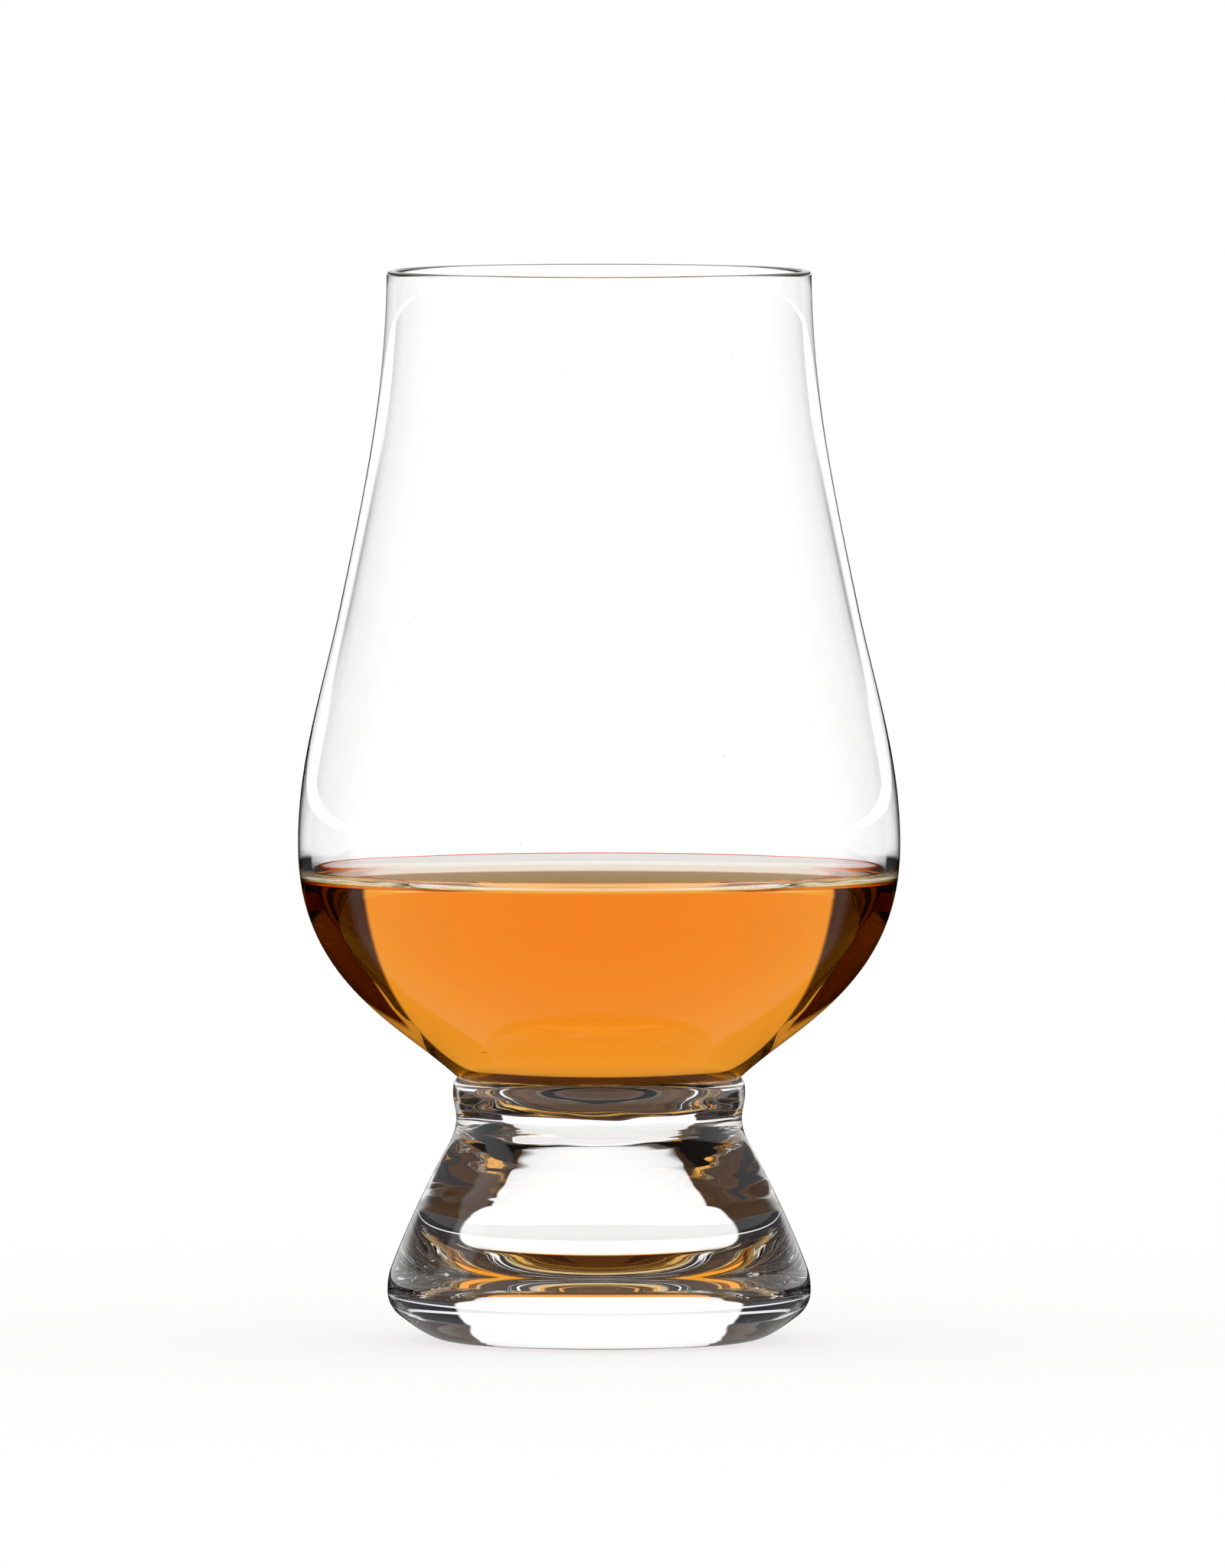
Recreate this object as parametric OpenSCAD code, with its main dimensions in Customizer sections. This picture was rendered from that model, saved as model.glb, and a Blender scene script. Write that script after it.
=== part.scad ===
// Nosing glass for spirits: a thin tulip bowl fused onto a heavy solid foot, with a measure poured in it.
// All three pieces are turned about the Z axis. Z = 0 is the table that the foot stands on.

/* [Bowl outside] */
// Height from the table to the top of the rim
height = 115; // [112:0.5:120]
// Outside diameter at the rim
rim_d = 45.6; // [43:0.2:50]
// Lean of the wall at the rim, in degrees from upright
rim_lean = 0.7; // [0:0.1:3]
// Outside diameter where the chimney turns into the belly
shoulder_d = 55.6; // [53:0.2:58]
// Height of that turn
shoulder_z = 79; // [74:0.5:84]
// Lean of the wall at that turn, in degrees from upright
shoulder_lean = 11.8; // [9:0.2:14]
// Outside diameter at the widest part of the belly
belly_d = 64.7; // [61:0.1:68]
// Height of the widest part
belly_z = 53.3; // [52.5:0.1:56]
// Outside diameter low on the belly, where it draws in most steeply
haunch_d = 47.6; // [46:0.1:49]
// Height of that place
haunch_z = 35.2; // [34.5:0.1:36]
// Lean of the wall there, in degrees from upright
haunch_lean = 49; // [45:0.5:53]

/* [Bowl wall] */
// Wall at the rim
rim_wall = 1.1; // [0.8:0.05:1.8]
// Wall at the shoulder
shoulder_wall = 1.15; // [0.8:0.05:1.8]
// Wall at the widest part of the belly
belly_wall = 1.35; // [1:0.05:2]
// Wall low on the belly, where the glass gathers
haunch_wall = 2.4; // [1.8:0.1:3.2]
// Glass between the lowest point of the hollow and the foot
floor_wall = 1.8; // [1.6:0.1:3.6]

/* [Foot] */
// How far the joint line between bowl and collar lies inside the collar, on each side
crease_inset = 0.5; // [0.1:0.05:1.2]
// Height of that joint line
crease_z = 28.3; // [27.5:0.1:29.2]
// How far the fused joint dips below that line at the axis
joint_dip = 5.5; // [3.5:0.1:6.5]
// Diameter of the rounded collar at its fullest
collar_d = 31.4; // [31.2:0.1:33]
// Height of the fullest part of the collar
collar_z = 26.6; // [25.5:0.1:27.2]
// Depth of the groove under the collar
groove_depth = 0.35; // [0.1:0.05:1]
// Height of that groove
groove_z = 23.9; // [23:0.1:24.8]
// Diameter on the upper flank, where the foot flares most
flank_d = 34.6; // [33.5:0.1:36]
// Height of that place
flank_z = 19; // [17.5:0.1:20.5]
// Lean of the flank there, in degrees from upright
flank_lean = 27; // [22:0.5:32]
// Lean of the skirt just above its edge, in degrees from upright
skirt_lean = 21; // [16:0.5:26]
// Diameter of the skirt just above its edge
skirt_d = 44.6; // [43:0.1:45]
// Height of that place
skirt_z = 8; // [7.4:0.1:9.5]
// Widest diameter of the foot, at its rounded edge
foot_d = 45.5; // [45.2:0.1:48]
// Height of the widest part of the foot
foot_edge_z = 5.3; // [4.4:0.1:6.6]
// Diameter halfway down the heel, which slopes in under the widest part
heel_d = 42.6; // [41:0.1:43.4]
// Height of that place
heel_z = 2.6; // [2:0.1:3.2]
// Lean of the heel there, in degrees from upright
heel_lean = 54; // [44:0.5:58]
// Outside diameter of the flat ring that rests on the table
rest_d = 31.5; // [29.5:0.1:35]
// Diameter of the shallow hollow under the foot
punt_d = 25; // [18:0.2:29]
// Depth of that hollow
punt_depth = 1.2; // [0.4:0.1:2]

/* [Measure] */
// Level of the poured spirit
fill_z = 49.6; // [42:0.2:62]
// How far the spirit climbs the wall at its edge
meniscus_rise = 1.2; // [0.4:0.1:1.6]
// Width of the curved edge of the surface
meniscus_w = 2.2; // [1:0.1:3]

/* [Fineness] */
// Straight steps along each stretch of an outline
steps = 14; // [6:1:24]

/* [Hidden] */
$fn = 120;

// Length of a curve's end handles, as a share of the straight distance between its ends
handle_share = 0.36;
// The same for the belly's underside, which is rounder
belly_handle_share = 0.38;
// Lean of the bowl's underside where it runs into the collar
crease_lean = 48;
// The same for the bottom of the hollow, which is flatter in the middle
bottom_handle_share = 0.5;
// Lean of the hollow's own wall at the haunch, a little flatter than the outside
hollow_lean = 54;
// Curves that end on the axis arrive level, which is this lean
level_lean = 90;
// Steps round the lip
lip_steps = 8;

// Unit vector down a wall of this lean: positive leans run outward on the way down
function down(lean) = [sin(lean), -cos(lean)];

// Point at t on the cubic curve through a and d, pulled towards b and c
function cubic(a, b, c, d, t) =
    pow(1 - t, 3) * a + 3 * pow(1 - t, 2) * t * b + 3 * (1 - t) * t * t * c + pow(t, 3) * d;

// Smooth stretch of outline from a down to b, given the lean at each end. It leaves out a itself.
function stretch(a, lean_a, b, lean_b, share = handle_share) =
    let (reach = share * norm(b - a))
    [for (i = [1 : steps])
        cubic(a, a + reach * down(lean_a), b - reach * down(lean_b), b, i / steps)];

// Arc of an ellipse about centre, from one angle to another, both ends included
function arc(centre, radii, from, to, count) =
    [for (i = [0 : count])
        let (angle = from + (to - from) * i / count)
        centre + [radii.x * cos(angle), radii.y * sin(angle)]];

// Diameters that follow the collar
crease_d = collar_d - 2 * crease_inset;
groove_d = collar_d - 2 * groove_depth;

// Places on the outside of the bowl, as [radius, height]
lip = rim_wall / 2;
rim_out = [rim_d / 2, height - lip];
shoulder_out = [shoulder_d / 2, shoulder_z];
belly_out = [belly_d / 2, belly_z];
haunch_out = [haunch_d / 2, haunch_z];
crease = [crease_d / 2, crease_z];

// The same places on the hollow side
rim_in = [rim_d / 2 - rim_wall, height - lip];
shoulder_in = [shoulder_d / 2 - shoulder_wall, shoulder_z];
belly_in = [belly_d / 2 - belly_wall, belly_z];
haunch_in = haunch_out + haunch_wall * [-cos(haunch_lean), sin(haunch_lean)];
joint_bottom = [0, crease_z - joint_dip];
hollow_bottom = joint_bottom + [0, floor_wall];

// Places on the foot
collar = [collar_d / 2, collar_z];
groove = [groove_d / 2, groove_z];
flank = [flank_d / 2, flank_z];
skirt = [skirt_d / 2, skirt_z];
foot_edge = [foot_d / 2, foot_edge_z];
heel = [heel_d / 2, heel_z];
rest = [rest_d / 2, 0];
punt_edge = [punt_d / 2, 0];

// Outside of the bowl from rim to crease, top first
bowl_outside = concat(
    [rim_out],
    stretch(rim_out, rim_lean, shoulder_out, shoulder_lean),
    stretch(shoulder_out, shoulder_lean, belly_out, 0),
    stretch(belly_out, 0, haunch_out, -haunch_lean, belly_handle_share),
    stretch(haunch_out, -haunch_lean, crease, -crease_lean));

// Wall of the hollow from rim to its lowest point, top first
hollow_wall = concat(
    [rim_in],
    stretch(rim_in, rim_lean, shoulder_in, shoulder_lean),
    stretch(shoulder_in, shoulder_lean, belly_in, 0),
    stretch(belly_in, 0, haunch_in, -hollow_lean, belly_handle_share),
    stretch(haunch_in, -hollow_lean, hollow_bottom, -level_lean, bottom_handle_share));

// Fused joint between bowl and foot, from the crease in to the axis
joint_line = stretch(crease, -crease_lean, joint_bottom, -level_lean);

// Turns a list of points end for end
function reversed(points) = [for (i = [len(points) - 1 : -1 : 0]) points[i]];

module bowl_section() {
    rounded_lip = arc(rim_out - [lip, 0], [lip, lip], 180, 0, lip_steps);
    polygon(concat(rounded_lip, bowl_outside, joint_line, reversed(hollow_wall)));
}

module foot_section() {
    flared_side = concat(
        stretch(crease, crease_lean, collar, 0),
        stretch(collar, 0, groove, 0),
        stretch(groove, 0, flank, flank_lean),
        stretch(flank, flank_lean, skirt, skirt_lean),
        stretch(skirt, skirt_lean, foot_edge, 0),
        stretch(foot_edge, 0, heel, -heel_lean),
        stretch(heel, -heel_lean, rest, -level_lean));
    punt = [for (i = [0 : steps])
        [punt_edge.x * (1 - i / steps), punt_depth * (1 - pow(1 - i / steps, 2))]];
    polygon(concat([joint_bottom], reversed(joint_line), [crease], flared_side, punt));
}

// Half of the space that the spirit may fill: flat on top, and curved up to the wall at its edge
module measure_section() {
    wall_r = lookup(fill_z + meniscus_rise, [for (p = reversed(hollow_wall)) [p.y, p.x]]);
    climb = [for (i = [0 : steps])
        [wall_r - meniscus_w * (1 - i / steps), fill_z + meniscus_rise * pow(i / steps, 3)]];
    top = [belly_d / 2, fill_z + meniscus_rise];
    polygon(concat([[0, 0], [0, fill_z]], climb, [top, [top.x, 0]]));
}

// Thin blown bowl with a fire-polished lip
module bowl() {
    color([0.93, 0.95, 0.96, 0.35]) rotate_extrude() bowl_section();
}

// Solid pressed foot, from the collar down to the ring that rests on the table
module foot() {
    color([0.85, 0.88, 0.9, 0.45]) rotate_extrude() foot_section();
}

// Poured measure, which wets the wall of the hollow up to its curved edge
module whisky() {
    color([0.93, 0.47, 0.1, 0.85]) rotate_extrude() intersection() {
        polygon(concat(hollow_wall, [[0, height]]));
        measure_section();
    }
}

bowl();
foot();
whisky();
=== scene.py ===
# %% [markdown]
# A nosing glass for whisky has three things in it: a thin tulip bowl, a heavy solid foot, and a
# poured measure. Every one of them is clear, so nothing here is painted. What the eye sees is the
# room, bent by each surface in turn, and the whole lesson is about shapes and surfaces that bend
# light the way the real glass does.

# %% Load the frame
import math

import bpy
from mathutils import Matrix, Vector


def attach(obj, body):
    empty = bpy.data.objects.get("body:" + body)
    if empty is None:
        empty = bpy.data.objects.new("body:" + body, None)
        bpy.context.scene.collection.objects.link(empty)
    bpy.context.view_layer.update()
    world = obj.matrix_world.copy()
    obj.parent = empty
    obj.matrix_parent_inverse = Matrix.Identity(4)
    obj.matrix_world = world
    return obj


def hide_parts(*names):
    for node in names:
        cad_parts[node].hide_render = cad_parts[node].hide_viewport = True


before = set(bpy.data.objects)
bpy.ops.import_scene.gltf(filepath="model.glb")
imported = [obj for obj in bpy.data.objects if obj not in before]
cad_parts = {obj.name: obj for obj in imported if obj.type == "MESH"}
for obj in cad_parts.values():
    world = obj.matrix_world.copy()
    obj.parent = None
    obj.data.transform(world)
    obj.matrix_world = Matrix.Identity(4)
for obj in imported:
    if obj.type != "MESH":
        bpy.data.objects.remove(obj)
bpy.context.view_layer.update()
MM = 0.001

# %% [markdown]
# The photograph was taken from about three metres away, a little above the rim, with a long lens.
# The rings of the glass show this: the rim is almost a line, and lower rings open up slowly.

# %% Camera
CAMERA_FAR = 3120 * MM
CAMERA_HEIGHT = 213 * MM
PICTURE_TALL = 168.4 * MM
AIM_HEIGHT = 59.8 * MM
AIM_RIGHT = 1.44 * MM
SENSOR_MM = 36
SEES_AS_FAR_AS = 100


def add_camera():
    """A long lens, from a little above the rim, that takes in PICTURE_TALL at the glass."""
    place = Vector((AIM_RIGHT, -CAMERA_FAR, CAMERA_HEIGHT))
    aim = Vector((AIM_RIGHT, 0, AIM_HEIGHT))
    turn = (aim - place).to_track_quat("-Z", "Y").to_euler()
    bpy.ops.object.camera_add(location=place, rotation=turn)
    camera = bpy.context.object
    camera.name = "camera"
    camera.data.sensor_width = SENSOR_MM
    camera.data.lens = SENSOR_MM * (aim - place).length / PICTURE_TALL
    camera.data.clip_end = SEES_AS_FAR_AS
    bpy.context.scene.camera = camera
    return camera


camera = add_camera()
print("lens in mm:", round(camera.data.lens))

# %% [markdown]
# All three pieces are turned about the vertical axis, so each is an outline spun once round. An
# outline could be traced point by point, but a designer draws it with a few places and the lean of
# the wall at each. A Bezier curve works the same way, so those places and leans are all that the
# next cells hold.

# %% Sizes of the bowl
HEIGHT = 115 * MM
RIM_D = 45.6 * MM
RIM_LEAN = 0.7
SHOULDER_D = 55.6 * MM
SHOULDER_Z = 79 * MM
SHOULDER_LEAN = 11.8
BELLY_D = 64.7 * MM
BELLY_Z = 53.3 * MM
HAUNCH_D = 47.6 * MM
HAUNCH_Z = 35.2 * MM
HAUNCH_LEAN = 49
RIM_WALL = 1.1 * MM
SHOULDER_WALL = 1.15 * MM
BELLY_WALL = 1.35 * MM
HAUNCH_WALL = 2.4 * MM
HOLLOW_LEAN = 54
FLOOR_WALL = 1.8 * MM
LEVEL = 90
print("the belly is", round(BELLY_D / RIM_D, 2), "times as wide as the rim")

# %% Sizes of the foot
CREASE_D = 30.4 * MM
CREASE_Z = 28.3 * MM
CREASE_LEAN = 48
JOINT_DIP = 5.5 * MM
COLLAR_D = 31.4 * MM
COLLAR_Z = 26.6 * MM
GROOVE_D = 30.7 * MM
GROOVE_Z = 23.9 * MM
FLANK_D = 34.6 * MM
FLANK_Z = 19 * MM
FLANK_LEAN = 27
SKIRT_D = 44.6 * MM
SKIRT_Z = 8 * MM
SKIRT_LEAN = 21
FOOT_D = 45.5 * MM
FOOT_EDGE_Z = 5.3 * MM
HEEL_D = 42.6 * MM
HEEL_Z = 2.6 * MM
HEEL_LEAN = 54
REST_D = 31.5 * MM
PUNT_D = 25 * MM
PUNT_DEPTH = 1.2 * MM
print("the foot is", round(FOOT_D / MM, 1), "mm wide and the collar", round(COLLAR_D / MM, 1))

# %% Sizes of the measure
FILL_Z = 49.6 * MM
MENISCUS_RISE = 1.2 * MM
MENISCUS_W = 2.2 * MM
WETTED_GAP = 0.04 * MM
FILM_THICK = 0.02 * MM
print("the spirit stands", round((FILL_Z - CREASE_Z) / MM, 1), "mm above the crease")

# %% Stretches of outline
HANDLE_SHARE = 0.36
BELLY_HANDLE_SHARE = 0.38
BOTTOM_HANDLE_SHARE = 0.5
ARC_SHARE = 0.5523
PUNT_SHARE = 2 / 3


def down(lean):
    """One step down a wall of this lean in degrees, as radius and height."""
    return Vector((math.sin(math.radians(lean)), -math.cos(math.radians(lean))))


def stretch(start, start_lean, end, end_lean, share=HANDLE_SHARE):
    """A smooth stretch down from start to end, as a curve's two ends and two handles."""
    reach = share * (end - start).length
    return [start, start + reach * down(start_lean), end - reach * down(end_lean), end]


def straight(start, end):
    return [start, start.lerp(end, 1 / 3), start.lerp(end, 2 / 3), end]


def bend(start, corner, end, share=ARC_SHARE):
    """A bend from start to end, bulging towards corner; at ARC_SHARE a quarter of an ellipse."""
    return [start, start.lerp(corner, share), end.lerp(corner, share), end]


def backwards(stretches):
    """The same stretches walked the other way."""
    return [one[::-1] for one in stretches[::-1]]


def place(diameter, height):
    return Vector((diameter / 2, height))


print("one step down an upright wall, as radius and height:", [round(value) for value in down(0)])

# %% Outlines of the bowl
lip = RIM_WALL / 2
rim_out = place(RIM_D, HEIGHT - lip)
rim_top = rim_out + Vector((-lip, lip))
rim_in = rim_out - Vector((RIM_WALL, 0))
shoulder_out = place(SHOULDER_D, SHOULDER_Z)
shoulder_in = shoulder_out - Vector((SHOULDER_WALL, 0))
belly_out = place(BELLY_D, BELLY_Z)
belly_in = belly_out - Vector((BELLY_WALL, 0))
haunch_out = place(HAUNCH_D, HAUNCH_Z)
haunch_side = Vector((-math.cos(math.radians(HAUNCH_LEAN)), math.sin(math.radians(HAUNCH_LEAN))))
haunch_in = haunch_out + HAUNCH_WALL * haunch_side
crease = place(CREASE_D, CREASE_Z)
joint_bottom = Vector((0, CREASE_Z - JOINT_DIP))
hollow_bottom = joint_bottom + Vector((0, FLOOR_WALL))

bowl_outside = [
    stretch(rim_out, RIM_LEAN, shoulder_out, SHOULDER_LEAN),
    stretch(shoulder_out, SHOULDER_LEAN, belly_out, 0),
    stretch(belly_out, 0, haunch_out, -HAUNCH_LEAN, BELLY_HANDLE_SHARE),
    stretch(haunch_out, -HAUNCH_LEAN, crease, -CREASE_LEAN),
]
hollow_wall = [
    stretch(rim_in, RIM_LEAN, shoulder_in, SHOULDER_LEAN),
    stretch(shoulder_in, SHOULDER_LEAN, belly_in, 0),
    stretch(belly_in, 0, haunch_in, -HOLLOW_LEAN, BELLY_HANDLE_SHARE),
    stretch(haunch_in, -HOLLOW_LEAN, hollow_bottom, -LEVEL, BOTTOM_HANDLE_SHARE),
]
joint_line = [stretch(crease, -CREASE_LEAN, joint_bottom, -LEVEL)]
rounded_lip = [
    bend(rim_in, rim_in + Vector((0, lip)), rim_top),
    bend(rim_top, rim_out + Vector((0, lip)), rim_out),
]
print("the bowl has", len(bowl_outside), "stretches outside and", len(hollow_wall), "inside")

# %% Outline of the foot
collar = place(COLLAR_D, COLLAR_Z)
groove = place(GROOVE_D, GROOVE_Z)
flank = place(FLANK_D, FLANK_Z)
skirt = place(SKIRT_D, SKIRT_Z)
foot_edge = place(FOOT_D, FOOT_EDGE_Z)
heel = place(HEEL_D, HEEL_Z)
rest = place(REST_D, 0)
punt_edge = place(PUNT_D, 0)
punt_top = Vector((0, PUNT_DEPTH))
punt_corner = Vector((PUNT_D / 4, PUNT_DEPTH))

flared_side = [
    stretch(crease, CREASE_LEAN, collar, 0),
    stretch(collar, 0, groove, 0),
    stretch(groove, 0, flank, FLANK_LEAN),
    stretch(flank, FLANK_LEAN, skirt, SKIRT_LEAN),
    stretch(skirt, SKIRT_LEAN, foot_edge, 0),
]
underside = [
    stretch(foot_edge, 0, heel, -HEEL_LEAN),
    stretch(heel, -HEEL_LEAN, rest, -LEVEL),
    straight(rest, punt_edge),
    bend(punt_edge, punt_corner, punt_top, PUNT_SHARE),
]

print("foot stands on a ring from", PUNT_D / MM, "to", REST_D / MM, "mm across")

# %% [markdown]
# A hand would draw each outline as a curve, convert it to a line of edges, and turn that line round
# the Z axis. The Spin operator does the turning, and so does the Screw modifier, which also merges
# the points on the axis as it goes. The modifier was chosen because it closes the seam by itself.

# %% Draw an outline
CURVE_STEPS = 24


def draw_outline(name, stretches, steps=CURVE_STEPS):
    """A Bezier curve in the XZ plane that runs along the stretches, made into a line of edges."""
    bpy.ops.object.select_all(action="DESELECT")
    bpy.ops.curve.primitive_bezier_curve_add()
    outline = bpy.context.object
    outline.name = name
    spline = outline.data.splines[0]
    spline.resolution_u = steps
    spline.bezier_points.add(len(stretches) - 1)
    for point in spline.bezier_points:
        point.handle_left_type = "FREE"
        point.handle_right_type = "FREE"
    for point, following, one in zip(spline.bezier_points, spline.bezier_points[1:], stretches):
        start, leaving, arriving, end = [(spot.x, 0, spot.y) for spot in one]
        point.co = start
        point.handle_right = leaving
        following.handle_left = arriving
        following.co = end
    bpy.ops.object.convert(target="MESH")
    return bpy.context.object


print("each stretch of a glass outline gets", CURVE_STEPS, "edges")

# %% Turn it round
TURN_STEPS = 224
SAME_PLACE = 0.001 * MM
CREASE_ANGLE = math.radians(32)


def turn_round(piece):
    """Turns the piece's line of edges once round the Z axis, and closes its seam and its poles."""
    bpy.ops.object.modifier_add(type="SCREW")
    screw = piece.modifiers[-1]
    screw.axis = "Z"
    screw.angle = 2 * math.pi
    screw.steps = TURN_STEPS
    screw.render_steps = TURN_STEPS
    screw.use_merge_vertices = True
    screw.merge_threshold = SAME_PLACE
    bpy.ops.object.modifier_apply(modifier=screw.name)
    bpy.ops.object.mode_set(mode="EDIT")
    bpy.ops.mesh.select_all(action="SELECT")
    bpy.ops.mesh.remove_doubles(threshold=SAME_PLACE)
    bpy.ops.mesh.normals_make_consistent(inside=False)
    bpy.ops.object.mode_set(mode="OBJECT")
    bpy.ops.object.shade_smooth_by_angle(angle=CREASE_ANGLE)
    return piece


print("a full turn gets", TURN_STEPS, "steps")

# %% [markdown]
# The bowl is blown thin. Its wall is about a millimetre at the rim, where a flame has melted the
# lip round, and it thickens towards the collar, where the hot glass gathers. Solidify could give an
# even wall to one surface, but here the inside has its own outline, so the wall can swell. The
# hollow gets one more ring of edges where the spirit will touch it, so the wetted part can have its
# own finish.

# %% Bowl
whole_wall = backwards(hollow_wall) + rounded_lip + bowl_outside + joint_line
bowl = turn_round(draw_outline("tulip_bowl", whole_wall))
contact_z = FILL_Z + MENISCUS_RISE


def faces_where(piece, wanted):
    """The faces that wanted(radius, height, outward, up) picks; the last two are the normal's."""
    picked = []
    for face in piece.data.polygons:
        radius = math.hypot(face.center.x, face.center.y)
        outward = (face.normal.x * face.center.x + face.normal.y * face.center.y) / radius
        if wanted(radius, face.center.z, outward, face.normal.z):
            picked.append(face)
    return picked


def cut_ring(piece, height, wanted):
    """Adds one ring of edges at this height on the faces that wanted picks."""
    bpy.context.view_layer.objects.active = piece
    bpy.ops.object.mode_set(mode="EDIT")
    bpy.ops.mesh.select_all(action="DESELECT")
    bpy.ops.object.mode_set(mode="OBJECT")
    for face in faces_where(piece, wanted):
        face.select = True
    bpy.ops.object.mode_set(mode="EDIT")
    bpy.ops.mesh.bisect(plane_co=(0, 0, height), plane_no=(0, 0, 1))
    bpy.ops.object.mode_set(mode="OBJECT")


cut_ring(bowl, contact_z, lambda radius, height, outward, up: outward < 0 and height > HAUNCH_Z)
print("bowl:", len(bowl.data.polygons), "faces")

# %% [markdown]
# The foot is pressed from one solid gob and fused to the bowl while both are soft. A rounded collar
# shows where they join. Below it the flank flares, and the heel turns in under the edge. The heel is
# what makes the dark amber band across the foot: it is steep enough to mirror the whisky above it.

# %% Foot
foot = turn_round(draw_outline("solid_foot", backwards(joint_line) + flared_side + underside))
print("foot:", len(foot.data.polygons), "faces")

# %% [markdown]
# The measure is a body of its own with the hollow's wall for its sides. A liquid climbs the glass a
# little at its edge, and that curve is the bright line round the top of the drink. The wall's line
# of edges is cut at the wetted height and then extruded along the curve to the axis.

# %% Line of the surface
MENISCUS_STEPS = 16


def level_line(wall_radius):
    """The curved edge and the level surface, from the wall in to the axis, as radius and height."""
    spots = []
    for step in range(MENISCUS_STEPS + 1):
        share = step / MENISCUS_STEPS
        height = FILL_Z + MENISCUS_RISE * (1 - share) ** 3
        spots.append(Vector((wall_radius - MENISCUS_W * share, height)))
    spots.append(Vector((0, FILL_Z)))
    return spots


print("the line of the surface has", len(level_line(BELLY_D / 2)), "corners")

# %% Measure
def extrude_to(spots):
    """Extrudes the selected end of a line of edges from spot to spot, as radius and height."""
    here = spots[0]
    for spot in spots[1:]:
        step = spot - here
        bpy.ops.mesh.extrude_region_move(TRANSFORM_OT_translate={"value": (step.x, 0, step.y)})
        here = spot


def select_points(piece, wanted):
    """Selects the points that wanted(point) picks, and nothing else, and leaves edit mode on."""
    bpy.context.view_layer.objects.active = piece
    bpy.ops.object.mode_set(mode="EDIT")
    bpy.ops.mesh.select_all(action="DESELECT")
    bpy.ops.object.mode_set(mode="OBJECT")
    for vertex in piece.data.vertices:
        vertex.select = wanted(vertex.co)
    bpy.ops.object.mode_set(mode="EDIT")


def pour_measure():
    """The hollow's own wall up to the wetted edge, then the meniscus and the level surface."""
    line = draw_outline("poured_whisky", backwards(hollow_wall))
    spots = sorted((vertex.co.copy() for vertex in line.data.vertices), key=lambda spot: spot.z)
    last = [spot for spot in spots if spot.z <= contact_z][-1]
    following = [spot for spot in spots if spot.z > contact_z][0]
    edge = last.lerp(following, (contact_z - last.z) / (following.z - last.z))
    select_points(line, lambda spot: spot.z > contact_z)
    bpy.ops.mesh.delete(type="VERT")
    select_points(line, lambda spot: spot.z > last.z - SAME_PLACE)
    extrude_to([Vector((last.x, last.z))] + level_line(edge.x))
    bpy.ops.object.mode_set(mode="OBJECT")
    turn_round(line)
    bpy.ops.object.mode_set(mode="EDIT")
    bpy.ops.mesh.select_all(action="SELECT")
    bpy.ops.transform.shrink_fatten(value=-WETTED_GAP)
    bpy.ops.object.mode_set(mode="OBJECT")
    return line, edge.x - WETTED_GAP


whisky, wetted_radius = pour_measure()
print("whisky:", len(whisky.data.polygons), "faces")

# %% [markdown]
# Light that enters the drink by one finish and leaves it by another goes on being tinted, because
# the renderer pairs a body with its finish. So the drink's body keeps one finish all over, and a
# film a fiftieth of a millimetre thick lies on its top to bend and mirror the light there.

# %% Film on the surface
def lay_film():
    """The line of the surface turned round, then given its thickness by Solidify."""
    corners = level_line(wetted_radius)
    sides = [straight(here, following) for here, following in zip(corners, corners[1:])]
    film = draw_outline("whisky_surface", sides, steps=1)
    turn_round(film)
    bpy.ops.object.modifier_add(type="SOLIDIFY")
    thickness = film.modifiers[-1]
    thickness.thickness = FILM_THICK
    thickness.offset = -1
    bpy.ops.object.modifier_apply(modifier=thickness.name)
    return film


film = lay_film()
print("film:", len(film.data.polygons), "faces")

# %% [markdown]
# Several finishes need the same small sums of nodes, so a few helpers place them. Each takes plain
# numbers or other nodes' sockets, and gives back the socket that carries its answer. A mask is such
# a number too: 1 where something holds, 0 where it doesn't, and in between at its edge.

# %% Sums of nodes
def feed(tree, socket, value):
    """Sets a socket to a number, or links another socket to it."""
    if isinstance(value, (int, float)):
        socket.default_value = value
    else:
        tree.links.new(value, socket)


def maths(tree, operation, *values):
    """One Math node."""
    node = tree.nodes.new("ShaderNodeMath")
    node.operation = operation
    for socket, value in zip(node.inputs, values):
        feed(tree, socket, value)
    return node.outputs[0]


def opposite(tree, value):
    return maths(tree, "SUBTRACT", 1, value)


def all_of(tree, first, *others):
    """The masks multiplied together."""
    for other in others:
        first = maths(tree, "MULTIPLY", first, other)
    return first


def axes_of(tree, vector):
    """The vector's X, Y and Z."""
    parts = tree.nodes.new("ShaderNodeSeparateXYZ")
    tree.links.new(vector, parts.inputs[0])
    return parts.outputs["X"], parts.outputs["Y"], parts.outputs["Z"]


def spot_on_piece(tree):
    """The place on the piece, in metres from where the glass's axis meets the board."""
    return tree.nodes.new("ShaderNodeTexCoord").outputs["Object"]


print("helpers: feed, maths, opposite, all_of, axes_of, spot_on_piece")

# %% Fades and mixes
def fade(tree, value, full, none):
    """1 up to full and 0 from none on, or the other way round, with a smooth step between."""
    node = tree.nodes.new("ShaderNodeMapRange")
    node.interpolation_type = "SMOOTHSTEP"
    settings = {"Value": value, "From Min": full, "From Max": none, "To Min": 1, "To Max": 0}
    for name, number in settings.items():
        feed(tree, node.inputs[name], number)
    return node.outputs["Result"]


def mixed(tree, share, first, second):
    """first where share is 0, second where it is 1."""
    node = tree.nodes.new("ShaderNodeMix")
    for name, value in (("Factor", share), ("A", first), ("B", second)):
        feed(tree, node.inputs[name], value)
    return node.outputs["Result"]


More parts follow.
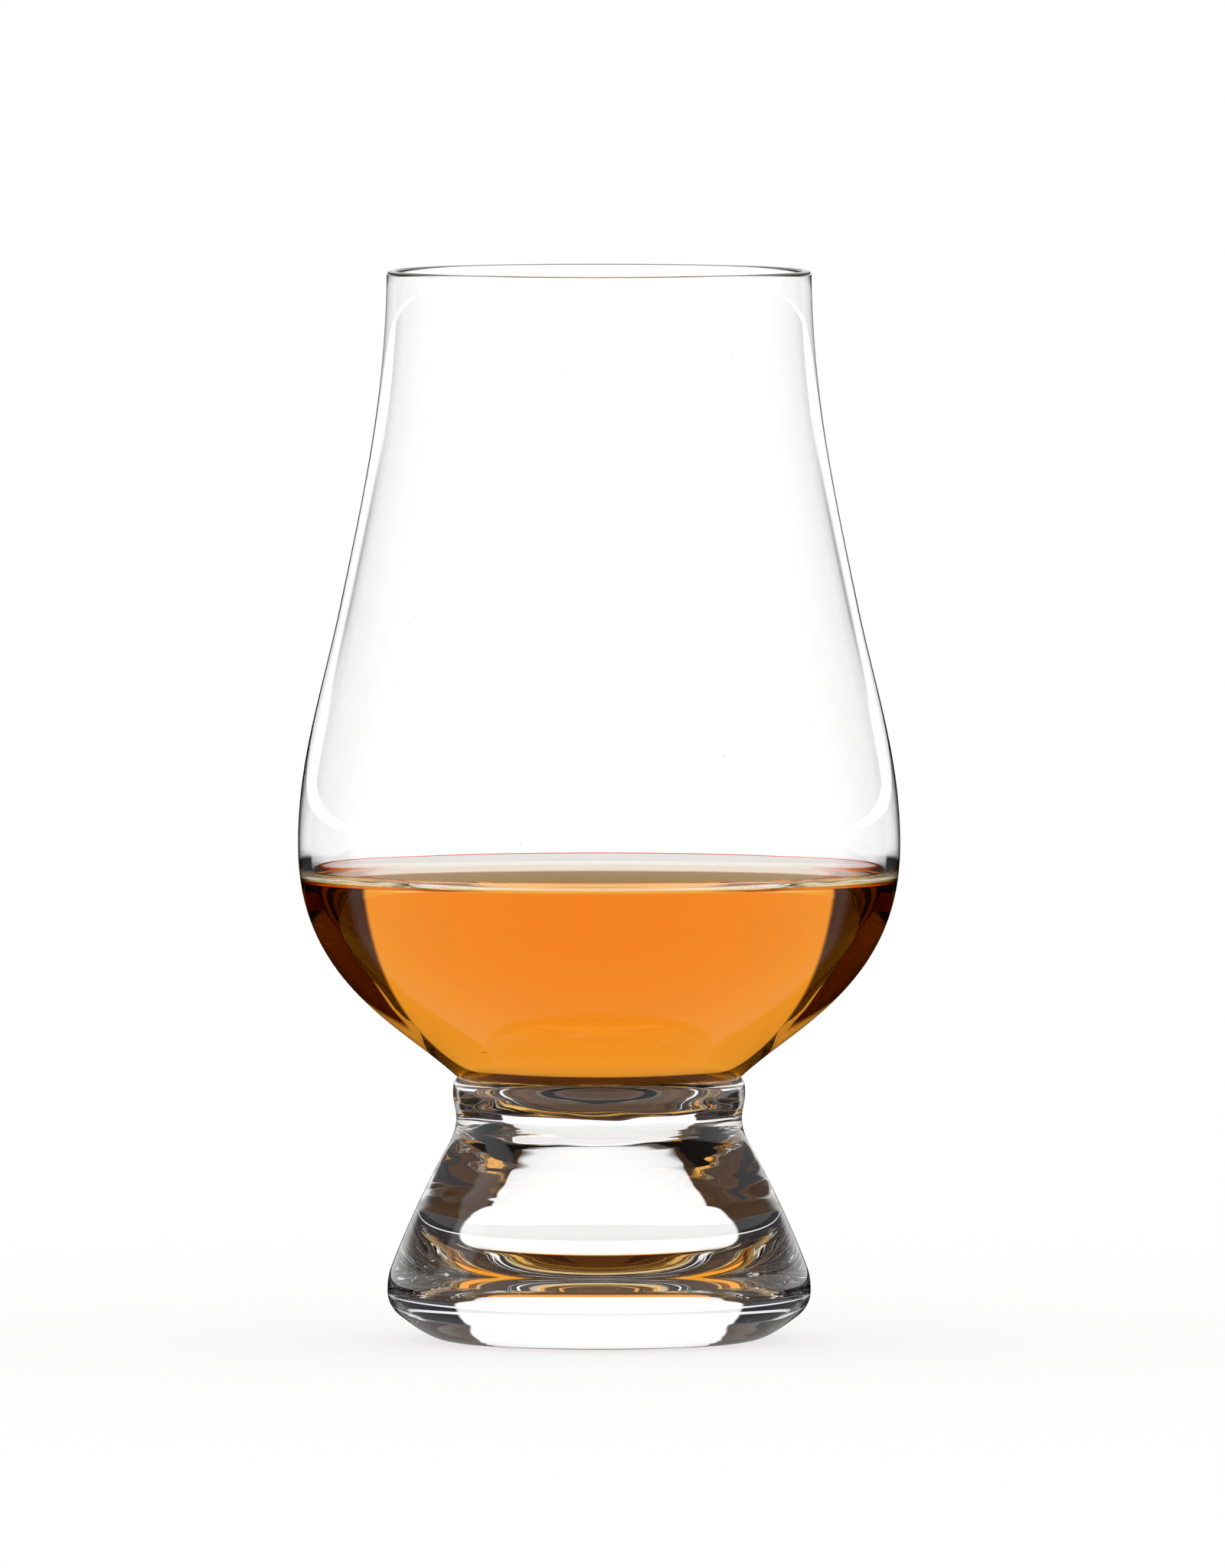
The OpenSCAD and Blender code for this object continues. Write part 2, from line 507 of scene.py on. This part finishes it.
def mixed_colour(tree, share, first, second):
    """The same for two colours."""
    node = tree.nodes.new("ShaderNodeMix")
    node.data_type = "RGBA"
    feed(tree, node.inputs["Factor"], share)
    ends = [socket for socket in node.inputs if socket.type == "RGBA"]
    for socket, value in zip(ends, (first, second)):
        if isinstance(value, tuple):
            socket.default_value = value
        else:
            tree.links.new(value, socket)
    return [socket for socket in node.outputs if socket.type == "RGBA"][0]


print("helpers: fade, mixed, mixed_colour")

# %% [markdown]
# Real glass is never quite even. A blown wall has long slow waves in it, and the upper flank of a
# pressed foot has short ripples where the mould chilled it. These could be sculpted, but even the
# highest are a quarter of a millimetre, so a bump is enough: it bends the light as such a wave would.
# One group serves all the clear finishes, each with waves of its own length, height and place. The
# noise keeps its own scale of 1, and the place that it reads is stretched instead.

# %% Waves in the glass
WAVE_DETAIL = 1


def new_group(name, numbers, answer):
    """A node group with number inputs, given with their defaults, and one number output."""
    group = bpy.data.node_groups.new(name, "ShaderNodeTree")
    for label, value in numbers.items():
        socket = group.interface.new_socket(label, in_out="INPUT", socket_type="NodeSocketFloat")
        socket.default_value = value
    group.interface.new_socket(answer, in_out="OUTPUT", socket_type="NodeSocketFloat")
    return group, group.nodes.new("NodeGroupInput").outputs, group.nodes.new("NodeGroupOutput").inputs


def make_waves():
    """A group that gives the height of waves, at Round and Up per metre, between two heights."""
    numbers = {"Round": 40, "Up": 40, "From": 0, "To": 1, "Soft": 2 * MM}
    group, given, answer = new_group("glass_waves", numbers, "Height")
    spot = spot_on_piece(group)
    lengths = group.nodes.new("ShaderNodeCombineXYZ")
    for axis, label in (("X", "Round"), ("Y", "Round"), ("Z", "Up")):
        group.links.new(given[label], lengths.inputs[axis])
    scaled = group.nodes.new("ShaderNodeVectorMath")
    scaled.operation = "MULTIPLY"
    group.links.new(spot, scaled.inputs[0])
    group.links.new(lengths.outputs[0], scaled.inputs[1])
    noise = group.nodes.new("ShaderNodeTexNoise")
    noise.inputs["Scale"].default_value = 1
    noise.inputs["Detail"].default_value = WAVE_DETAIL
    group.links.new(scaled.outputs[0], noise.inputs["Vector"])
    height = axes_of(group, spot)[2]
    lowest = maths(group, "SUBTRACT", given["From"], given["Soft"])
    highest = maths(group, "ADD", given["To"], given["Soft"])
    above = fade(group, height, given["From"], lowest)
    below = fade(group, height, given["To"], highest)
    group.links.new(all_of(group, noise.outputs["Fac"], above, below), answer["Height"])
    return group


waves = make_waves()
print("group", waves.name, "has", len(waves.nodes), "nodes")

# %% [markdown]
# The photograph also shows a few specks on the bowl and in the drink. They are points thrown one to a
# cell, which a Voronoi texture does. They could be grains of mesh, but a dot of colour is enough for
# something a tenth of a millimetre wide.

# %% Specks
SPECK_CORE_SHARE = 0.7


def make_specks():
    """A group that gives 1 on specks of radius Size, about one to a cube of side Cell."""
    group, given, answer = new_group("specks", {"Cell": 9 * MM, "Size": 0.13 * MM}, "Speck")
    cells = group.nodes.new("ShaderNodeTexVoronoi")
    group.links.new(spot_on_piece(group), cells.inputs["Vector"])
    group.links.new(maths(group, "DIVIDE", 1, given["Cell"]), cells.inputs["Scale"])
    away = maths(group, "MULTIPLY", cells.outputs["Distance"], given["Cell"])
    core = maths(group, "MULTIPLY", given["Size"], SPECK_CORE_SHARE)
    group.links.new(fade(group, away, core, given["Size"]), answer["Speck"])
    return group


specks = make_specks()
print("group", specks.name, "has", len(specks.nodes), "nodes")

# %% [markdown]
# A clear finish is a Principled shader with full transmission and the material's own index, which
# sets how much light bends and how much is mirrored. The tint stays white, because glass this clean
# gets its colour from the room. The waves go to the normal and the specks to the colour.

# %% Clear finishes
GLASS_IOR = 1.52
SPIRIT_IOR = 1.36
CLEAR = (1, 1, 1, 1)
SPECK_COLOUR = (0.42, 0.34, 0.26, 1)


def place_group(tree, group, values):
    """Places a node group with its own values, and gives its output."""
    node = tree.nodes.new("ShaderNodeGroup")
    node.node_tree = group
    for label, value in values.items():
        node.inputs[label].default_value = value
    return node.outputs[0]


def clear_material(name, ior):
    """A clean transmissive finish."""
    material = bpy.data.materials.new(name)
    material.use_nodes = True
    shader = material.node_tree.nodes["Principled BSDF"]
    shader.inputs["Base Color"].default_value = CLEAR
    shader.inputs["Roughness"].default_value = 0
    shader.inputs["IOR"].default_value = ior
    shader.inputs["Transmission Weight"].default_value = 1
    return material


def add_waves(material, tall, **values):
    """Bends the normal by waves of this height."""
    tree = material.node_tree
    bump = tree.nodes.new("ShaderNodeBump")
    bump.inputs["Distance"].default_value = tall
    tree.links.new(place_group(tree, waves, values), bump.inputs["Height"])
    tree.links.new(bump.outputs["Normal"], tree.nodes["Principled BSDF"].inputs["Normal"])


def add_specks(material, **values):
    """Dots the colour with specks."""
    tree = material.node_tree
    colour = mixed_colour(tree, place_group(tree, specks, values), CLEAR, SPECK_COLOUR)
    tree.links.new(colour, tree.nodes["Principled BSDF"].inputs["Base Color"])


print("glass bends light by an index of", GLASS_IOR)

# %% [markdown]
# The blown bowl has slow waves, taller than they are wide. The pressed foot has its ripples on the
# upper flank only, and the ring that it rests on is scuffed by every table, so the roughness has
# fine streaks there. Only the foot has them, so they need no group.

# %% Glass of the bowl and the foot
BLOWN = {"Round": 34, "Up": 16, "From": 0, "To": 1, "Soft": 2 * MM}
BLOWN_TALL = 0.05 * MM
PRESSED = {"Round": 90, "Up": 420, "From": 17 * MM, "To": 24.5 * MM, "Soft": 3 * MM}
PRESSED_TALL = 0.25 * MM
SCUFFED_BELOW = 0.05 * MM
SCUFFED_ROUGH = 0.12
STREAKS = 900


def scuff(material):
    """Roughens the surface in fine streaks at its very bottom."""
    tree = material.node_tree
    spot = spot_on_piece(tree)
    streaks = tree.nodes.new("ShaderNodeTexNoise")
    streaks.inputs["Scale"].default_value = STREAKS
    tree.links.new(spot, streaks.inputs["Vector"])
    low = maths(tree, "LESS_THAN", axes_of(tree, spot)[2], SCUFFED_BELOW)
    rough = all_of(tree, low, SCUFFED_ROUGH, streaks.outputs["Fac"])
    tree.links.new(rough, tree.nodes["Principled BSDF"].inputs["Roughness"])


bowl_glass = clear_material("bowl_glass", GLASS_IOR)
add_waves(bowl_glass, BLOWN_TALL, **BLOWN)
add_specks(bowl_glass)
foot_glass = clear_material("foot_glass", GLASS_IOR)
add_waves(foot_glass, PRESSED_TALL, **PRESSED)
scuff(foot_glass)
print("finishes:", bowl_glass.name, "and", foot_glass.name)

# %% [markdown]
# Where the spirit touches the wall, light goes from glass straight into liquid and bends far less
# than into air. Two touching surfaces can't say that, so the wall's wetted faces carry the ratio of
# the two indexes, and the drink's own sides bend nothing. In the same way the faces where bowl and
# foot are fused are not there in real glass, so they are plainly transparent.

# %% Wetted and fused faces
def unseen_material(name):
    """A finish that light passes as if nothing were there."""
    material = bpy.data.materials.new(name)
    material.use_nodes = True
    nodes = material.node_tree.nodes
    nodes.remove(nodes["Principled BSDF"])
    clear = nodes.new("ShaderNodeBsdfTransparent")
    material.node_tree.links.new(clear.outputs["BSDF"], nodes["Material Output"].inputs["Surface"])
    return material


wetted_glass = clear_material("wetted_glass", GLASS_IOR / SPIRIT_IOR)
fused = unseen_material("fused_joint")
film_under = unseen_material("film_under")
print("from glass into spirit the index is", round(GLASS_IOR / SPIRIT_IOR, 3))

# %% [markdown]
# The whisky's amber is not a surface colour. It deepens with every millimetre that light travels
# through it, so it is a volume that absorbs blue most, green less and red hardly at all. The
# drink's middle is a clear orange, and its bottom, where it is shallow, turns yellow by itself.

# %% Spirit
SPIRIT_COLOUR = (0.988, 0.727, 0.056, 1)
SPIRIT_DENSITY = 90
BENDS_NOTHING = 1.0
STILL_TALL = 0.01 * MM
SPIRIT_SPECKS = {"Cell": 7 * MM, "Size": 0.1 * MM}
CM = 10 * MM


def absorb(material, colour, density):
    """Tints light by how far it travels inside the piece."""
    nodes = material.node_tree.nodes
    volume = nodes.new("ShaderNodeVolumeAbsorption")
    volume.inputs["Color"].default_value = colour
    volume.inputs["Density"].default_value = density
    material.node_tree.links.new(volume.outputs["Volume"], nodes["Material Output"].inputs["Volume"])


spirit = clear_material("spirit", BENDS_NOTHING)
absorb(spirit, SPIRIT_COLOUR, SPIRIT_DENSITY)
add_specks(spirit, **SPIRIT_SPECKS)
spirit_top = clear_material("spirit_top", SPIRIT_IOR)
add_waves(spirit_top, STILL_TALL, **BLOWN)
per_cm = [math.exp(-SPIRIT_DENSITY * CM * (1 - value)) for value in SPIRIT_COLOUR[:3]]
print("a centimetre lets through, red, green, blue:", [round(value, 2) for value in per_cm])

# %% [markdown]
# Each face gets its finish by where it lies and which way it faces, as a hand would pick faces in
# edit mode. The wetted faces look in at the axis or up from the floor of the hollow. The joint shows
# twice, once under the bowl and once on top of the foot.

# %% Put the finishes on
NEARLY_LEVEL = 0.9
HALF_UP = 0.5
SLIGHTLY_UP = 0.3


def add_finish(piece, material, faces=None):
    """Adds a material to the piece, on the given faces or on all of them."""
    piece.data.materials.append(material)
    for face in piece.data.polygons if faces is None else faces:
        face.material_index = len(piece.data.materials) - 1


def touches_spirit(radius, height, outward, up):
    return height < contact_z and (outward < 0 or up > NEARLY_LEVEL)


def under_bowl(radius, height, outward, up):
    return height < CREASE_Z and up < 0


def on_foot(radius, height, outward, up):
    return radius < CREASE_D / 2 and up > HALF_UP


add_finish(bowl, bowl_glass)
wetted = faces_where(bowl, touches_spirit)
add_finish(bowl, wetted_glass, wetted)
joint_above = faces_where(bowl, under_bowl)
add_finish(bowl, fused, joint_above)
add_finish(foot, foot_glass)
joint_below = faces_where(foot, on_foot)
add_finish(foot, fused, joint_below)
add_finish(whisky, spirit)
add_finish(film, film_under)
add_finish(film, spirit_top, faces_where(film, lambda radius, height, outward, up: up > SLIGHTLY_UP))
print("wetted faces:", len(wetted), "fused faces:", len(joint_above), "and", len(joint_below))

# %% [markdown]
# Clear glass is drawn by its room. A photographer puts a white sheet behind it and lets darkness in
# at the sides, so that every window of white ends in a dark band, and those bands draw the flanks of
# the foot and the drink. Here the world plays the sheets: one stands behind the glass, one wide one
# stands on the camera's side, and between them, and overhead, it is dark. Lamps could do this too,
# but a world has no edges to hide and costs no noise. Sheets are placed by their turn in degrees from
# straight behind the glass, and heights by the rise of a direction, which is 1 straight up. All these
# numbers were set for the photograph's view.

# %% Sheets of the studio
BACK_SHEET = (31.5, 33)
NEAR_SHEET = (76, 68)


def turn_from_behind(tree, across, back):
    """The turn in degrees from straight behind the glass."""
    return maths(tree, "DEGREES", maths(tree, "ARCTAN2", across, back))


def sheets(tree, vector):
    """Masks for the sheet behind and the one on the camera's side, and the vector's rise."""
    across, back, rise = axes_of(tree, vector)
    turn = turn_from_behind(tree, maths(tree, "ABSOLUTE", across), back)
    return fade(tree, turn, *BACK_SHEET), fade(tree, turn, *NEAR_SHEET), rise


print("the sheet behind is", 2 * BACK_SHEET[0], "degrees wide")

# %% [markdown]
# In a studio the black flags stand where they darken only what they should. A ray here can say what
# it has come through, because each surface that it crosses is counted: none for a reflection off the
# outside, up to three for the foot or a single wall, four for the two walls of the dry bowl, and
# more for the drink. So the dry bowl can stay white to its edges while the foot and the drink get
# their dark flanks. Counts are whole numbers, so the limits between them lie at a half.

# %% What a ray has come through
AT_MOST_NONE = 0.5
AT_MOST_THREE = 3.5
AT_MOST_FOUR = 4.5


def between(tree, value, low, high):
    return all_of(tree, maths(tree, "GREATER_THAN", value, low), maths(tree, "LESS_THAN", value, high))


def kinds_of_ray(tree):
    """Masks for rays that come from the outside, the solid foot, the dry walls and the drink."""
    path = tree.nodes.new("ShaderNodeLightPath").outputs
    crossed = path["Transmission Depth"]
    outside = maths(tree, "LESS_THAN", crossed, AT_MOST_NONE)
    solid = between(tree, crossed, AT_MOST_NONE, AT_MOST_THREE)
    walls = between(tree, crossed, AT_MOST_THREE, AT_MOST_FOUR)
    drink = maths(tree, "GREATER_THAN", crossed, AT_MOST_FOUR)
    from_glass = maths(tree, "MAXIMUM", path["Is Transmission Ray"], path["Is Glossy Ray"])
    return path, outside, solid, walls, drink, from_glass


print("rays of the drink have crossed more than", math.floor(AT_MOST_FOUR), "surfaces")

# %% [markdown]
# The glass stands on a flat board, so wide that no edge of it comes into view.

# %% Floor
BOARD_SIDE = 40

bpy.ops.mesh.primitive_plane_add(size=BOARD_SIDE, location=(0, 0, 0))
floor = bpy.context.object
floor.name = "floor"
print("board is", round(floor.dimensions.x), "m across")

# %% [markdown]
# For the camera the board is matt, and its own glow makes up for what it doesn't scatter, so that it
# is white with a faint shadow under the foot. The glass sees it as polished, because then a ray that
# goes down through the foot still finds the sheet or the dark that lies beyond, instead of a grey
# patch beside the foot. Farther off, and below the drink, it is simply white. Each pair of numbers
# gives how far from the axis the white is full and how far it is gone.

# %% Where the glass sees the board white
SHEET_UNDER = (40 * MM, 41 * MM)
FAR_BOARD = (200 * MM, 160 * MM)
WALLS_FAR = (140 * MM, 110 * MM)
DRINK_BOARD = (120 * MM, 140 * MM)
HORIZON_BOARD = (750 * MM, 600 * MM)
OUTSIDE_FAR = (600 * MM, 150 * MM)
OUTSIDE_NEAR_LEVEL = 0.3


def white_board(tree, spot, distance, path, outside, solid, walls, drink):
    """Where a ray from the glass finds the board simply white."""
    unmirrored = maths(tree, "LESS_THAN", path["Glossy Depth"], AT_MOST_NONE)
    straight_out = maths(tree, "MAXIMUM", unmirrored, fade(tree, distance, *HORIZON_BOARD))
    for_solid = all_of(tree, solid, fade(tree, distance, *FAR_BOARD), straight_out)
    for_walls = all_of(tree, walls, fade(tree, distance, *WALLS_FAR))
    near_side = sheets(tree, spot)[1]
    level = mixed(tree, fade(tree, distance, *OUTSIDE_FAR), OUTSIDE_NEAR_LEVEL, 1)
    for_outside = all_of(tree, outside, near_side, level)
    for_drink = all_of(tree, drink, fade(tree, distance, *DRINK_BOARD))
    for_inside = maths(tree, "MAXIMUM", maths(tree, "MAXIMUM", for_solid, for_walls), for_drink)
    return maths(tree, "MAXIMUM", for_inside, for_outside)


print("rays from the foot find the board white from", round(FAR_BOARD[0] / MM), "mm on")

# %% [markdown]
# Every surface of glass mirrors about four hundredths of the light that meets it, so a white sheet
# would look grey through several of them. A photographer makes up for that by letting the sheet
# behind run a little past white. Rays from the foot and from the dry walls find it so here, on the
# board and in the room.

# %% Finish of the board
BOARD = (0.3, 0.3, 0.3, 1)
POLISH = 0.8
MIRROR_ROUGH = 0.006
OVEREXPOSED = 0.15


def past_white(tree, solid, walls, behind):
    """How much stronger than white the sheet behind is, for rays that have been through glass."""
    return all_of(tree, maths(tree, "MAXIMUM", solid, walls), behind, OVEREXPOSED)


def board_material():
    """Matt for the camera, polished or white for the glass."""
    material = bpy.data.materials.new("board")
    material.use_nodes = True
    tree = material.node_tree
    nodes = tree.nodes
    nodes.remove(nodes["Principled BSDF"])
    spot = spot_on_piece(tree)
    reach = nodes.new("ShaderNodeVectorMath")
    reach.operation = "LENGTH"
    tree.links.new(spot, reach.inputs[0])
    distance = reach.outputs["Value"]
    path, outside, solid, walls, drink, from_glass = kinds_of_ray(tree)
    matt = nodes.new("ShaderNodeBsdfDiffuse")
    matt.inputs["Color"].default_value = BOARD
    glow = nodes.new("ShaderNodeEmission")
    glow.inputs["Strength"].default_value = 1 - BOARD[0]
    pale = nodes.new("ShaderNodeAddShader")
    polished = nodes.new("ShaderNodeBsdfAnisotropic")
    polished.inputs["Roughness"].default_value = MIRROR_ROUGH
    shine = mixed(tree, fade(tree, distance, *SHEET_UNDER), POLISH, 1)
    shown = all_of(tree, shine, opposite(tree, outside), opposite(tree, walls))
    tree.links.new(shown, polished.inputs["Color"])
    white = nodes.new("ShaderNodeEmission")
    over = past_white(tree, solid, walls, sheets(tree, spot)[0])
    tree.links.new(maths(tree, "ADD", over, 1), white.inputs["Strength"])
    seen = nodes.new("ShaderNodeMixShader")
    choice = nodes.new("ShaderNodeMixShader")
    tree.links.new(matt.outputs[0], pale.inputs[0])
    tree.links.new(glow.outputs[0], pale.inputs[1])
    plain_white = white_board(tree, spot, distance, path, outside, solid, walls, drink)
    tree.links.new(plain_white, seen.inputs[0])
    tree.links.new(polished.outputs[0], seen.inputs[1])
    tree.links.new(white.outputs[0], seen.inputs[2])
    tree.links.new(from_glass, choice.inputs[0])
    tree.links.new(pale.outputs[0], choice.inputs[1])
    tree.links.new(seen.outputs[0], choice.inputs[2])
    tree.links.new(choice.outputs[0], nodes["Material Output"].inputs["Surface"])
    return material


add_finish(floor, board_material())
print("finish of the board:", floor.data.materials[0].name)

# %% [markdown]
# What the outside of the glass mirrors is kept apart from what lies behind it. The walls of the bowl
# stand nearly upright and mirror white, and so does the round lip. The foot leans, so it mirrors a
# higher part of the room, which is dark, apart from one upright lamp at the left that draws a streak
# down its flank. The lean of the wall that shows a direction to a camera in front can be worked out
# from the direction alone, so the room is white just where the bowl and the lip mirror it in the
# photograph's view. Those places stay where they are when the camera moves.

# %% What the outside mirrors
UPRIGHT_WALLS = (0.25, 0.31)
LIP = (0.65, 0.55)
LAMP_FROM = (74, 70)
LAMP_TO = (94, 98)
LAMP_TOP = (0.7, 0.8)


def lamp_at_left(tree, vector):
    """A mask for the upright lamp at the left."""
    across, back, rise = axes_of(tree, vector)
    turn = turn_from_behind(tree, maths(tree, "MULTIPLY", across, -1), back)
    sides = all_of(tree, fade(tree, turn, *LAMP_FROM), fade(tree, turn, *LAMP_TO))
    return all_of(tree, sides, fade(tree, rise, *LAMP_TOP))


def mirroring_lean(tree, vector):
    """The lean, as a sine, of the wall that shows this direction to a camera in front."""
    back, rise = axes_of(tree, vector)[1:]
    spread = maths(tree, "SQRT", maths(tree, "MULTIPLY", opposite(tree, back), 2))
    return maths(tree, "DIVIDE", rise, spread)


def mirrored_white(tree, vector):
    """Where the outside of the glass mirrors white."""
    lean = mirroring_lean(tree, vector)
    walls_or_lip = maths(tree, "MAXIMUM", fade(tree, lean, *UPRIGHT_WALLS), fade(tree, lean, *LIP))
    return maths(tree, "MAXIMUM", lamp_at_left(tree, vector), walls_or_lip)


print("the lamp is", LAMP_TO[0] - LAMP_FROM[0], "degrees wide")

# %% [markdown]
# Inside the foot light is mirrored to and fro. The room gives light that reaches it after such
# mirroring only a small share of its strength. That is painted shade, kept off near the horizon and on
# the camera's side, and it leaves the flanks nearly black. The board's mirror isn't quite sharp, so a
# ray off it can be told from one that the glass mirrors, and isn't counted.

# %% Strength of the room
CEILING = (0.70, 0.75)
CEILING_LEVEL = 0.12
# Painted shade: the share of its strength that the room keeps for light mirrored inside the foot.
PAINTED_SHADE_LEVEL = 0.02
HORIZON = (0.03, 0.06)
OUTSIDE_DARK = 0.1
WALLS_DARK = 0.9


def foot_light(tree, lit, path, near_side, rise):
    """The light of the sheets, with painted shade on light mirrored inside the foot."""
    off_board = all_of(tree, path["Is Glossy Ray"], opposite(tree, path["Is Singular Ray"]))
    excused = maths(tree, "ADD", off_board, near_side)
    mirrored = maths(tree, "SUBTRACT", path["Glossy Depth"], excused)
    often = maths(tree, "GREATER_THAN", mirrored, AT_MOST_NONE)
    # Painted shade on the foot's flanks, for light mirrored inside it away from the horizon.
    painted_shade = all_of(tree, often, opposite(tree, fade(tree, rise, *HORIZON)))
    return all_of(tree, lit, mixed(tree, painted_shade, 1, PAINTED_SHADE_LEVEL))


def room_strength(tree, vector, path, outside, solid, walls, drink):
    """How bright the room is for each kind of ray, then the rise and the mask of the sheet behind."""
    behind, near_side, rise = sheets(tree, vector)
    panels = maths(tree, "MAXIMUM", behind, near_side)
    lit = mixed(tree, fade(tree, rise, *CEILING), all_of(tree, panels, CEILING_LEVEL), panels)
    off_outside = mixed(tree, mirrored_white(tree, vector), OUTSIDE_DARK, 1)
    straight_through = all_of(tree, walls, maths(tree, "LESS_THAN", path["Glossy Depth"], AT_MOST_NONE))
    strength = mixed(tree, outside, 0, off_outside)
    strength = mixed(tree, solid, strength, foot_light(tree, lit, path, near_side, rise))
    strength = mixed(tree, straight_through, strength, mixed(tree, panels, WALLS_DARK, 1))
    return mixed(tree, drink, strength, lit), rise, behind


print("light mirrored inside the foot keeps", PAINTED_SHADE_LEVEL, "of its strength")

# %% [markdown]
# The room is plain white for the camera, for the board and for every soft bounce. Only rays from the
# glass see the sheets and the dark between them, which is a little warm above and cool below, as a
# room is. For rays from the drink the dark is made darker still, as painted shade on the drink's
# flanks.

# %% World
WARM_DARK = (0.065, 0.031, 0.013, 1)
COOL_DARK = (0.016, 0.017, 0.022, 1)
WARM_FROM = (0.32, 0.22)
# Painted shade: how much darker the room's dark is for rays from the drink.
DRINK_PAINTED_SHADE = 0.7


def make_world():
    """The white room, with its sheets and its dark for rays from the glass."""
    world = bpy.data.worlds.new("studio")
    world.use_nodes = True
    tree = world.node_tree
    path, outside, solid, walls, drink, from_glass = kinds_of_ray(tree)
    direction = tree.nodes.new("ShaderNodeTexCoord").outputs["Generated"]
    strength, rise, behind = room_strength(tree, direction, path, outside, solid, walls, drink)
    strength = mixed(tree, from_glass, 1, strength)
    dark = mixed_colour(tree, fade(tree, rise, *WARM_FROM), COOL_DARK, WARM_DARK)
    background = tree.nodes["Background"]
    tree.links.new(mixed_colour(tree, strength, dark, CLEAR), background.inputs["Color"])
    # Painted shade on the drink's flanks.
    drink_painted_shade = all_of(tree, drink, from_glass, opposite(tree, strength), DRINK_PAINTED_SHADE)
    over = past_white(tree, solid, walls, behind)
    tree.links.new(maths(tree, "ADD", opposite(tree, drink_painted_shade), over), background.inputs["Strength"])
    return world


bpy.context.scene.world = make_world()
print("world:", bpy.context.scene.world.name)

# %% [markdown]
# Light crosses up to a dozen surfaces on its way through the drink and bounces inside the foot, so
# the renderer is allowed forty bounces before it gives up and leaves black.

# %% Scene settings
BOUNCES = 40
scene = bpy.context.scene
scene.view_settings.view_transform = "Standard"
scene.cycles.max_bounces = BOUNCES
scene.cycles.transmission_bounces = BOUNCES
scene.cycles.glossy_bounces = BOUNCES
scene.cycles.transparent_max_bounces = BOUNCES
print("bounces:", BOUNCES)

# %% [markdown]
# Each piece stands for the CAD solid of the same name, which is hidden, and rides on the one body
# that the glass has. The table also gives each solid's slot, which nothing here reads.

# %% Ride
PARTS = (
    (bowl, "bowl", "bowl_glass"),
    (foot, "foot", "foot_glass"),
    (whisky, "whisky", "spirit"),
    (film, "whisky", "spirit"),
)
for piece, node, slot in PARTS:
    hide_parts(node)
    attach(piece, "root")
